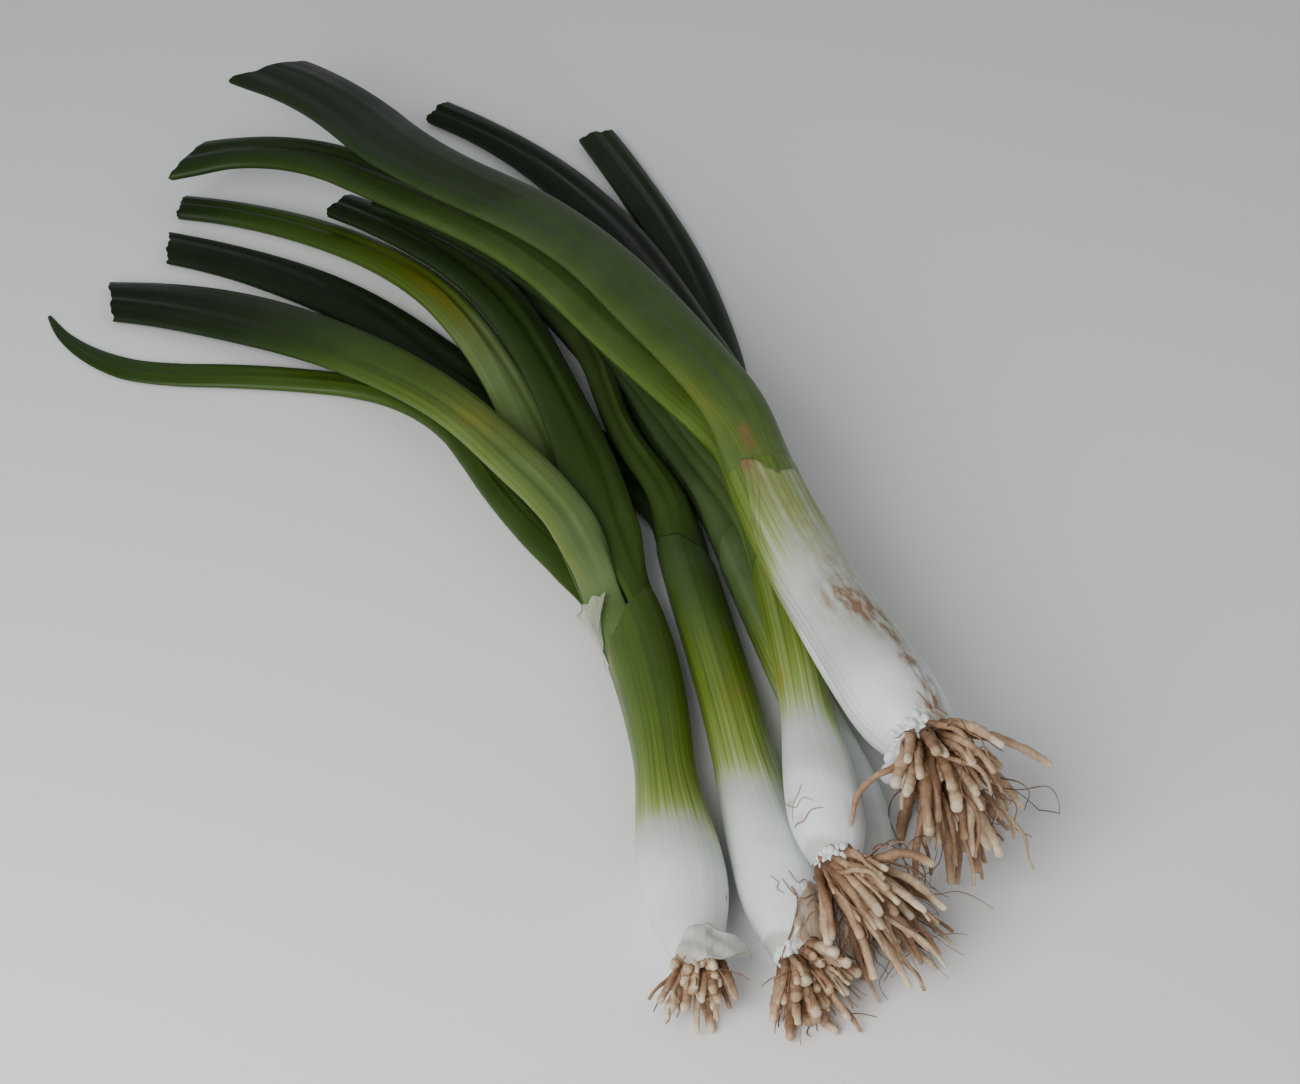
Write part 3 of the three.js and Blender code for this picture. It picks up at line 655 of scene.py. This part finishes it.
for number, (name, look) in enumerate(LEAVES.items()):
    tube = read_tube(name, 8)
    stem = tubes[name[:7]]
    top, tip = stem["s"][-1], tube["s"][-1]
    pointed = tube["wide"][-1] < 1.5
    packed_at = np.array([-ROOTED, -22.0, -11.0])
    centre, side, up = frames(stem, top + packed_at)
    place = np.array(look["place"], float)
    packed = centre + side * place[0] + up * place[1]
    centre, side, up = frames(stem, top + np.zeros(1))
    shift = centre[0] + side[0] * place[0] + up[0] * place[1] - tube["centre"][0]
    loose = 1 - ease(tube["s"] / 40)[:, None]
    stations = np.concatenate([packed_at, tube["s"]])
    line = np.concatenate([packed, tube["centre"] + shift * loose])
    wide = np.concatenate([np.full(3, tube["wide"][0]), tube["wide"]])
    thick = np.concatenate([np.full(3, tube["thick"][0]), tube["thick"]])

    rows = np.arange(-ROOTED, tip, LEAF_STEP)
    inward = np.zeros(len(rows))
    if not pointed:
        lining = np.array([0, 0, 0, -0.5, -3, -9, -16, -HOLLOW])
        inset = np.array([0, WALL / 2, WALL, WALL, WALL, WALL, 1.1, 2.0])
        rows = np.concatenate([rows, tip + lining])
        inward = np.concatenate([inward, inset])
    cut = tube["slant"] * tube["wide"][-1] * np.cos(TURN)
    cut = (cut + 0.35 * np.sin(5 * TURN + number) + 0.2 * np.sin(13 * TURN)) * (not pointed)
    s = rows[:, None] + cut * ease((rows - (tip - SLANTED)) / SLANTED)[:, None]
    centre, side, up = frames({"s": stations, "centre": line}, s)
    sway = 1 + 0.035 * np.sin(s / 27 + 1.7 * number) + 0.02 * np.sin(s / 11 + number)
    opened = ease((s + 2) / OPENING)
    at, length, widening, drift = look.get("swell", (0, 1, 0, 0))
    swell = np.exp(-(((s - at) / length) ** 2)) * opened
    if pointed:
        swell = swell * np.sqrt(np.clip((tip - s) / 40, 0, 1))
    centre = centre + side * (drift * swell)[..., None]
    half = np.maximum(follow(stations, wide, s) * sway + widening * swell - inward[:, None], 0.15)
    deep = np.maximum(follow(stations, thick, s) / sway - inward[:, None], 0.12)
    across = half * np.cos(TURN)
    above = deep * np.sign(np.sin(TURN)) * np.abs(np.sin(TURN)) ** 0.85
    depth, at, wander = look["crease"]
    fold = (np.cos(TURN) - at - wander * np.sin(s / 60 + number)) / 0.22
    above = above - depth * np.exp(-(fold**2)) * np.clip(np.sin(TURN), 0, 1) * np.minimum(deep / 3, 1)
    rib = (np.cos(TURN) + 0.35 * np.sin(s / 80 + 2 * number)) / 0.12
    above = above + 0.22 * np.exp(-(rib**2)) * np.sin(TURN)
    halved = [(0, -np.sign(place[1]), -0.1)]
    layer = packed_section(place, look.get("planes", halved), stem["wide"][-1] - PACK)
    fan, leans = SHAFTS[name[:7]].get("fan", (0, 0))
    fan = fan * ease((s + FANNED) / FANNED) * (1 - opened)
    tuck = 1 - 0.05 * ease(-s / ROOTED)
    across = across * opened + layer[0] * (1 - opened) * tuck
    above = above * opened + layer[1] * (1 - opened) * tuck
    across = across + fan * (leans + (place[0] + across) / stem["wide"][-1])
    points = centre + side * across[..., None] + up * above[..., None]
    low = 0.25 + 0.6 * inward[:, None]
    points[..., 2] = low + np.logaddexp(0, (points[..., 2] - low) / 0.25) * 0.25
    # left is the mask of the painted light: with glow, it lightens a band down the left edge of each leaf.
    left = np.clip(-np.cos(TURN), 0, 1) ** 2
    inside = 0.12 * (inward > 0.3)[:, None]
    make_piece(
        name.replace("leaf", "blade"),
        [{
            "points": points,
            "along": rows,
            "round": 4 * tube["wide"].max() * 1.1,
            "tone": profile(look["tone"], s) - look.get("glow", 0) * left * ease(s / 30) - inside,
            "marks": blots(s, TURN, look, LEAF_ROUND),
        }],
        BLADE_SKIN, name,
    )

# ------------------------------
# Roots: a tan corky plate under each bulb, and the tuft of fleshy roots that grows out of it. They
# were trimmed at harvest, so most end blunt and pale; thin dry hairs tangle between them.

ROOT_ROWS = 30
ROOT_COLUMNS = 14
GOLDEN_TURN = 2.39996  # spaces the roots evenly over their plate


def root_colour():
    """Dry root skin: brown at the plate, tan along the root and pale at the cut, after the tone at
    each point, with darker rings and grit from noise."""
    material, tree, shader = new_skin("root skin")
    tone = node(tree, "Attribute", attribute_name="tone").outputs["Fac"]
    rings = streaks(tree, 500, 900, 3.0)
    cloud = grains(tree, 180)
    turned = plus(tree, tone, times(tree, maths(tree, "SUBTRACT", cloud, 0.5), 0.5))
    colour = ramp(tree, turned, [
        (0.0, (0.050, 0.020, 0.009)),
        (0.25, (0.150, 0.070, 0.030)),
        (0.55, (0.335, 0.190, 0.103)),
        (0.8, (0.52, 0.37, 0.225)),
        (1.0, (0.70, 0.59, 0.43)),
    ])
    level = spread(tree, rings, 0.3, 0.7, 0.72, 1.1)
    shade = node(tree, "CombineColor", {0: level, 1: level, 2: level}).outputs[0]
    tree.links.new(blend(tree, 1.0, colour, shade, "MULTIPLY"), shader.inputs["Base Color"])
    tree.links.new(spread(tree, cloud, 0.3, 0.7, 0.5, 0.7), shader.inputs["Roughness"])
    wrinkle(tree, shader, plus(tree, rings, cloud), 0.6, 0.0003)
    shader.inputs["Subsurface Weight"].default_value = 0.08
    shader.inputs["Subsurface Scale"].default_value = 0.001
    return material


def grow(start, heading, length, radius, droop, curl, random):
    """Tubes grown step by step from their starts. At each step a heading turns down by the droop and
    sideways by a curl that swings along the root; a root that meets the table slides along it.
    The radius flares at the foot, thins more the longer the root is and ends in a half ball."""
    count = len(start)
    step = (length / ROOT_ROWS)[:, None]
    place, way = start.copy(), unit(heading)
    swing = random.normal(size=(count, 3)) * curl[:, None]
    kink = random.normal(size=(count, 3)) * curl[:, None] * 1.3
    phase = random.uniform(0, 6.3, (count, 1))
    normal = np.cross(way, random.normal(size=(count, 3)))
    trail, normals, ways = [place], [], []
    for turn in range(ROOT_ROWS):
        bend = swing * np.sin(phase + turn * 0.22) + kink * np.sin(2 * phase + turn * 0.75)
        way = way + (bend - [0, 0, 1] * droop[:, None]) * step
        low = place[:, 2:] + way[:, 2:] * step < radius[:, None]
        level = np.maximum(way[:, 2:], (radius[:, None] - place[:, 2:]) / step)
        way[:, 2:] = np.where(low, level, way[:, 2:])
        way = unit(way)
        normal = unit(normal - way * (normal * way).sum(axis=1, keepdims=True))
        place = place + way * step
        trail.append(place)
        normals.append(normal)
        ways.append(way)
    trail = np.stack(trail, axis=1)
    normals = np.stack(normals + normals[-1:], axis=1)
    ways = np.stack(ways + ways[-1:], axis=1)
    share = np.linspace(0, 1, ROOT_ROWS + 1)
    bulge = 1 + 0.09 * np.sin(phase + share * 15) + 0.06 * np.sin(3 * phase + share * 37)
    thinner = 0.1 + 0.6 * np.clip(length[:, None] / 30, 0, 1) * random.uniform(0.2, 1.0, (count, 1))
    size = radius[:, None] * (1 + 0.25 * np.exp(-share / 0.05)) * (1 - thinner * share**1.4) * bulge
    end = np.radians([16, 32, 48, 64, 80])
    last = size[:, -1:]
    blunt = trail[:, -1:] + ways[:, -1:] * (last * 0.9 * np.sin(end))[..., None]
    trail = np.concatenate([trail, blunt], axis=1)
    size = np.concatenate([size, last * np.cos(end) ** 0.9], axis=1)
    normals = np.concatenate([normals, np.repeat(normals[:, -1:], 5, axis=1)], axis=1)
    ways = np.concatenate([ways, np.repeat(ways[:, -1:], 5, axis=1)], axis=1)
    angle = around(ROOT_COLUMNS)
    across = np.cross(normals, ways)
    flute = 1 + 0.06 * np.sin(3 * angle + phase[:, :, None] + trail[..., :1] / 4)
    way_out = spoke(normals[:, :, None], across[:, :, None], angle)
    points = trail[:, :, None] + way_out * (size[..., None] * flute)[..., None]
    points[..., 2] = np.maximum(points[..., 2], 0.12)
    return points, np.concatenate([share, np.full(5, 1.0)])


# roots, thin and hairs count the fat roots, the thin ones between them and the dry hairs. length and
# fat are a fat root's length and radius; spread and sweep are degrees of lean, outwards and sideways.
# bare is the side of the plate, in degrees, that a bud keeps free of roots.
TUFTS = {
    "onion_1": {"roots": 50, "thin": 30, "hairs": 30, "length": 40, "fat": 1.8, "spread": 46, "sweep": -9,
                "droop": 0.046, "plate": 8.0, "seed": 11, "bare": 203},
    "onion_2": {"roots": 34, "thin": 22, "hairs": 40, "length": 35, "fat": 1.45, "spread": 34, "sweep": 44,
                "droop": 0.034, "plate": 5.8, "seed": 12},
    "onion_3": {"roots": 26, "thin": 14, "hairs": 34, "length": 18, "fat": 1.6, "spread": 38, "sweep": 12,
                "droop": 0.034, "plate": 5.8, "seed": 13},
    "onion_4": {"roots": 28, "thin": 16, "hairs": 14, "length": 15, "fat": 1.45, "spread": 30, "sweep": -10,
                "droop": 0.034, "plate": 5.8, "seed": 14},
    "onion_5": {"roots": 20, "thin": 12, "hairs": 34, "length": 28, "fat": 1.2, "spread": 38, "sweep": 24,
                "droop": 0.030, "plate": 5.4, "seed": 15},
    "onion_6": {"roots": 16, "thin": 8, "hairs": 24, "length": 30, "fat": 1.3, "spread": 38, "sweep": 0,
                "droop": 0.036, "plate": 6.4, "seed": 16},
}
ROOT_SKIN = root_colour()

for name, tuft in TUFTS.items():
    tube = tubes[name]
    random = np.random.default_rng(tuft["seed"])
    centre, side, up = (part[0] for part in frames(tube, np.zeros(1)))
    out = np.cross(side, up)
    sizes = np.array([tuft["roots"], tuft["thin"], tuft["hairs"]])
    total = sizes.sum()
    order = np.concatenate([np.arange(n) for n in sizes])
    kind = np.repeat([0, 1, 2], sizes)  # fat, thin, hair: the order of the threes below
    share = np.sqrt((order + 0.5) / sizes[kind])
    angle = order * GOLDEN_TURN + kind * 1.1 + random.normal(size=total) * 0.15
    radial = spoke(side, up, angle)
    wild = np.array([0.13, 0.2, 0.3])[kind]
    lean = np.radians(tuft["spread"]) * share**1.3 + random.normal(size=total) * wild
    lean = np.clip(lean, -0.8, 0.8)
    turn = np.radians(tuft["sweep"]) + np.clip(random.normal(size=total), -1.5, 1.5) * wild * 0.8
    heading = out * np.cos(lean)[:, None] + radial * np.sin(lean)[:, None] + side * np.sin(turn)[:, None]
    foot = FOOT[name]
    depth = (foot + 0.4) * np.sqrt(np.maximum(1 - share**4, 0))
    start = centre + out * depth[:, None] + radial * (share * tuft["plate"] * 0.92)[:, None]
    low = 0.5 - 0.5 * radial[:, 2]
    length = tuft["length"] * np.array([0.62, 0.66, 0.7])[kind] * (1 + 0.62 * low)
    length = length * random.uniform(0.38, 1.0, total) * np.where(kind == 2, 1.2, 1)
    radius = tuft["fat"] * np.array([1.0, 0.5, 0.14])[kind] * random.uniform(0.66, 1.14, total)
    curl = np.array([0.030, 0.06, 0.12])[kind]
    droop = tuft["droop"] * np.array([1.0, 1.1, 0.9])[kind] * random.uniform(0.5, 1.4, total)
    points, along = grow(start, heading, length, radius, droop, curl, random)
    pale = np.array([0.60, 0.58, 0.34])[kind] + random.uniform(-0.24, 0.2, total)
    end = np.array([0.30, 0.16, 0.0])[kind]
    tone = pale[:, None] * (0.35 + 0.65 * ease(along / 0.5)) + end[:, None] * ease((along - 0.82) / 0.18)
    surfaces = [
        {
            "points": points[i][:, :: (1 if kind[i] < 2 else 2)],
            "along": along * length[i] + 40 * i,
            "round": 2 * np.pi * radius[i],
            "tone": tone[i][:, None],
        }
        for i in range(total)
        if not ("bare" in tuft and share[i] > 0.5 and np.cos(angle[i] - np.radians(tuft["bare"])) > 0.7)
    ]
    dome = np.radians(np.linspace(8, 172, 22))
    angle = around(60)
    knob = 1 + 0.06 * np.sin(9 * angle + 4 * np.sin(dome)[:, None])
    knob = knob + 0.05 * np.sin(14 * angle + 9 * dome[:, None])
    girth = (np.sin(dome) * tuft["plate"])[:, None] * knob
    depth = 0.2 - np.cos(dome)[:, None] * (foot + 0.3)
    plate = centre + spoke(side, up, angle) * girth[..., None] + out * depth[..., None]
    plate[..., 2] = np.maximum(plate[..., 2], TABLE_GAP)
    surfaces.append({"points": plate[::-1], "along": dome * 5, "round": 40.0, "tone": 0.38})
    make_piece(f"{name}_root_tuft", surfaces, ROOT_SKIN, f"{name}_roots")

# ------------------------------
# Root buds: rows of glossy white beads where new roots press out round the foot of a bulb, and one
# fat side bud low on the left of the big onion. They are the onion's own flesh.

BEAD_ROWS = np.radians(np.linspace(9, 171, 14))
BEAD_ROUND = around(16)


def beads(tube, foot, s, degrees, sizes, sunk):
    """Ovals sitting on a stem or its rounded foot. sizes are half lengths along the stem, round it and
    off it; sunk is how far each centre lies under the skin."""
    centre, side, up = frames(tube, s)
    way_out = spoke(side, up, np.radians(degrees))
    ahead = np.cross(up, side)
    tangent = np.cross(ahead, way_out)
    round_off = (1 - np.clip(-s / foot, 0, 0.98) ** 2) ** 0.35
    radius = follow(tube["s"], tube["wide"], np.clip(s, 0, None)) * round_off - sunk
    middle = centre + way_out * radius[:, None]
    ring = (
        tangent[:, None] * (sizes[:, 1:2, None] * np.cos(BEAD_ROUND)[:, None])
        + way_out[:, None] * (sizes[:, 2:3, None] * np.sin(BEAD_ROUND)[:, None])
    )
    rise = ahead[:, None] * (-np.cos(BEAD_ROWS)[:, None] * sizes[:, :1, None])
    points = middle[:, None, None] + rise[:, :, None] + np.sin(BEAD_ROWS)[:, None, None] * ring[:, None]
    points[..., 2] = np.maximum(points[..., 2], 0.12)
    return [
        {"points": oval, "along": np.arange(len(BEAD_ROWS)) * 0.2, "round": 3.0, "tone": 0.03}
        for oval in points
    ]


# rows of beads: (distance, first degree, last degree, count)
BEADS = {
    "onion_1": [(-1.2, 92, 196, 10), (-3.5, 90, 180, 8), (1.0, 106, 150, 4)],
    "onion_2": [(-0.8, 66, 180, 9), (-2.7, 84, 168, 6)],
    "onion_3": [(0.0, 122, 176, 5), (-1.8, 132, 160, 3)],
    "onion_4": [(-1.6, 100, 150, 4)],
}
random = np.random.default_rng(31)
for name, rows in BEADS.items():
    s = np.concatenate([np.full(count, at) for at, _, _, count in rows])
    degrees = np.concatenate([np.linspace(start, stop, count) for _, start, stop, count in rows])
    s = s + random.normal(size=len(s)) * 0.4
    degrees = degrees + random.normal(size=len(s)) * 2.0
    sizes = np.array([1.25, 0.88, 0.95]) * random.uniform(0.7, 1.3, (len(s), 1))
    surfaces = beads(tubes[name], FOOT[name], s, degrees, sizes, 0.05)
    if name == "onion_1":
        at, turned = np.array([-4.6, -6.0, -2.0]), np.array([197.0, 216.0, 184.0])
        sizes = np.array([[2.5, 3.5, 3.2], [2.1, 2.6, 2.6], [1.6, 2.3, 2.1]])
        surfaces += beads(tubes[name], 30, at, turned, sizes, np.array([-2.4, -1.0, -0.7]))
    make_piece(f"{name}_root_buds", surfaces, STEM_SKIN, None)

# ------------------------------
# Dry skin: scraps of the outermost skin, dead and thin as paper. One folds over the foot of the
# fourth onion, one clings at its fork, and one, tan and torn, lies on the right of the third.


def paper(name, thin, thick, clear):
    """Dead skin between two colours after drawn-out veins, with a soft sheen and fine wrinkles; clear
    is how much of what lies under it shows."""
    material, tree, shader = new_skin(name)
    veins = streaks(tree, 700, 60, 3.0)
    cloud = grains(tree, 220, 4.0)
    mixed = plus(tree, times(tree, veins, 0.5), times(tree, cloud, 0.5))
    tree.links.new(ramp(tree, mixed, [(0.36, thin), (0.62, thick)]), shader.inputs["Base Color"])
    wrinkle(tree, shader, mixed, 0.5, 0.0004)
    shader.inputs["Roughness"].default_value = 0.33
    shader.inputs["Alpha"].default_value = 1 - clear
    return material


def scrap(piece, owner, girth, skin, replaced=None, **sheet):
    """A scrap of dead skin: a sheet wrapped on its onion's stem, in a paper of its own."""
    points, s, _ = wrapped_sheet(tubes[owner], **sheet)
    surface = {"points": points, "along": s.mean(axis=1), "round": girth}
    make_piece(piece, [surface], paper(*skin), replaced)


scrap(
    "onion_4_dry_flap", "onion_4", 60.0, ("pale dry skin", (0.46, 0.44, 0.38), (0.66, 0.65, 0.60), 0.22),
    "onion_4_skin_flap",
    left=lambda d: 152 + 0 * d,
    right=lambda d: 2 - 2 * d,
    foot=lambda q: -1.6 - 6.4 * ease(q / 0.3) + 3.2 * ease((q - 0.7) / 0.3),
    head=lambda q: -1.2 + 3.6 * ease(q / 0.4) - 3.4 * ease((q - 0.5) / 0.5) + 0.25 * np.sin(26 * q),
    lift=lambda d, q: 0.5 + 2.2 * (1 - np.abs(q - 0.5) * 2) + 6.6 * ease((q - 0.5) / 0.5) ** 1.5
    + 0.22 * np.sin(17 * q + d) + 0.15 * np.sin(41 * q - d),
    thick=0.25, rows=36, columns=90,
)
scrap(
    "onion_3_dry_skin", "onion_3", 40.0, ("tan dry skin", (0.47, 0.30, 0.19), (0.68, 0.56, 0.43), 0.42),
    left=lambda d: 98 + 6 * np.sin(d / 2),
    right=lambda d: -8 + 0 * d,
    foot=lambda q: -1.0 + 0.4 * np.sin(11 * q),
    head=lambda q: 3 + 12.5 * ease(q / 0.35) + 0.9 * np.sin(17 * q) + 0.5 * np.sin(37 * q),
    lift=lambda d, q: 0.42 + 0.25 * np.sin(13 * q + d / 3) + 0.5 * ease((0.12 - q) / 0.12),
    thick=0.2, rows=40, columns=60,
)
scrap(
    "onion_4_fork_skin", "onion_4", 40.0, ("clear dry skin", (0.30, 0.34, 0.20), (0.56, 0.58, 0.46), 0.55),
    left=lambda d: 196 + 0 * d,
    right=lambda d: 150 - 2.2 * (d - 112),
    foot=lambda q: 108 + 9 * q + 0.5 * np.sin(14 * q),
    head=lambda q: 133 - 5 * q + 0.7 * np.sin(19 * q),
    lift=lambda d, q: 0.5 + 0.2 * np.sin(9 * q + d / 4) + 2.0 * ease((d - 124) / 12)
    + 0.9 * ease((q - 0.8) / 0.2),
    thick=0.2, rows=40, columns=40,
)

# ------------------------------
# Threads: dead root hairs, as fine as sewing thread, that dried and stuck where they lay on the bulbs
# of the first three onions. Each is a round hair bent over the skin through a few knots.

THREAD_ROWS = 44
THREAD_ROUND = around(6)


def thread(tube, knots, radius):
    """A round hair laid over a stem through knots (distance, degrees, height off the skin)."""
    knots = np.array(knots, float)
    share = np.linspace(0, len(knots) - 1, THREAD_ROWS)
    s, degrees, lift = follow(np.arange(len(knots)), knots, share).T
    centre, side, up = frames(tube, s)
    way_out = spoke(side, up, np.radians(degrees))
    line = centre + way_out * (follow(tube["s"], tube["wide"], np.clip(s, 0, None)) + lift)[:, None]
    way = unit(np.gradient(line, axis=0))
    normal = unit(way_out - way * (way_out * way).sum(axis=1, keepdims=True))
    across = np.cross(normal, way)
    thin = radius * (0.35 + 0.65 * np.sin(np.linspace(0.1, 3.0, THREAD_ROWS)) ** 0.5)
    ring = spoke(normal[:, None], across[:, None], THREAD_ROUND)
    points = line[:, None] + ring * thin[:, None, None]
    points[..., 2] = np.maximum(points[..., 2], 0.12)
    return {"points": points, "along": share * 4, "round": 1.0, "tone": 0.42}


THREADS = {
    "onion_1": [
        ([(6, 84, 0.4), (2, 78, 0.6), (-1, 80, 1.2), (-4, 74, 2)], 0.22),
        ([(4, 60, 0.5), (1, 66, 0.9), (-3, 60, 1.6)], 0.25),
    ],
    "onion_2": [
        ([(23, 182, 0.05), (19, 166, 0.1), (15.5, 148, 0.15), (16.5, 132, 0.15), (14, 116, 0.1)], 0.11),
        ([(12, 172, 0.05), (11.5, 160, 0.3), (10, 142, 0.5), (11.5, 124, 0.3), (11, 104, 0.1)], 0.15),
        ([(14, 168, 0.1), (17, 152, 0.3), (18.5, 138, 0.2), (21, 128, 0.1)], 0.10),
    ],
    "onion_3": [
        ([(14, 88, 0.5), (10, 84, 0.8), (6, 92, 0.6), (2, 108, 0.6), (-1, 134, 0.4), (-3, 150, 0.4)], 0.26),
        ([(17, 98, 0.2), (12, 88, 0.6), (10, 76, 0.9), (12, 56, 0.9), (15, 24, 0.9)], 0.16),
        ([(19, 86, 0.2), (15, 78, 0.6), (16, 66, 0.6), (12, 60, 0.6)], 0.13),
        ([(8, 72, 0.8), (10, 60, 1.0), (7, 48, 0.8), (3, 52, 0.8)], 0.13),
        ([(19, 112, 0.1), (16, 104, 0.4), (14.5, 108, 0.2), (12.5, 100, 0.3)], 0.12),
    ],
}
for name, laid in THREADS.items():
    surfaces = [thread(tubes[name], knots, radius) for knots, radius in laid]
    make_piece(f"{name}_dry_threads", surfaces, ROOT_SKIN, None)

# ------------------------------
# Floor, lights and camera: a plain pale table, a broad soft light over the left of the bulbs, a
# weak fill, and the camera that looks down the bunch from the root end.

AZIMUTH, ELEVATION = np.radians(54), np.radians(42)
AIM = np.array([0.0324, -0.00505, 0.0])
DISTANCE = 0.8
back = np.array([
    np.sin(AZIMUTH) * np.cos(ELEVATION), -np.cos(AZIMUTH) * np.cos(ELEVATION), np.sin(ELEVATION)
])
right = np.array([np.cos(AZIMUTH), np.sin(AZIMUTH), 0.0])


def look_at(thing, place, aim):
    """Stands a thing at a place with its -Z axis along the line to the aim and +Y as high as it goes."""
    thing.location = place
    thing.rotation_euler = Vector(aim - place).to_track_quat("-Z", "Y").to_euler()


FLOOR = 20.0  # half the side of the table, in metres
mesh = bpy.data.meshes.new("floor")
corners = [(-FLOOR, -FLOOR, 0), (FLOOR, -FLOOR, 0), (FLOOR, FLOOR, 0), (-FLOOR, FLOOR, 0)]
mesh.from_pydata(corners, [], [(0, 1, 2, 3)])
paint, _, shader = new_skin("floor paint")
shader.inputs["Base Color"].default_value = (0.88, 0.88, 0.87, 1)
shader.inputs["Roughness"].default_value = 0.7
mesh.materials.append(paint)
floor = bpy.data.objects.new("floor", mesh)
bpy.context.collection.objects.link(floor)

BULBS = np.array([0.15, -0.05, 0.02])
toward = np.array([np.sin(AZIMUTH), -np.cos(AZIMUTH), 0.0])
for name, place, size, power in (
    ("key light", BULBS - right * 0.34 + toward * 0.42 + np.array([0, 0, 0.46]), 0.5, 6.0),
    ("fill light", BULBS + right * 0.8 + np.array([0, 0, 1.0]), 1.2, 1.6),
):
    light = bpy.data.lights.new(name, "AREA")
    light.size = size
    light.energy = power
    lamp = bpy.data.objects.new(name, light)
    bpy.context.collection.objects.link(lamp)
    look_at(lamp, place, BULBS)

world = bpy.data.worlds.new("studio")
world.use_nodes = True
world.node_tree.nodes["Background"].inputs[0].default_value = (0.93, 0.96, 1.0, 1)
way = node(world.node_tree, "TexCoord").outputs["Generated"]
height = node(world.node_tree, "SeparateXYZ", {0: way}).outputs["Z"]
glow = spread(world.node_tree, height, 0.05, 0.45, 0.72, 0.29)
world.node_tree.links.new(glow, world.node_tree.nodes["Background"].inputs[1])
bpy.context.scene.world = world

lens = bpy.data.cameras.new("camera")
lens.sensor_fit = "HORIZONTAL"
lens.sensor_width = 36.0
lens.lens = 18.0 / np.tan(np.radians(27) / 2)
lens.clip_start = 0.01
camera = bpy.data.objects.new("camera", lens)
bpy.context.collection.objects.link(camera)
look_at(camera, AIM + back * DISTANCE, AIM)
bpy.context.scene.camera = camera
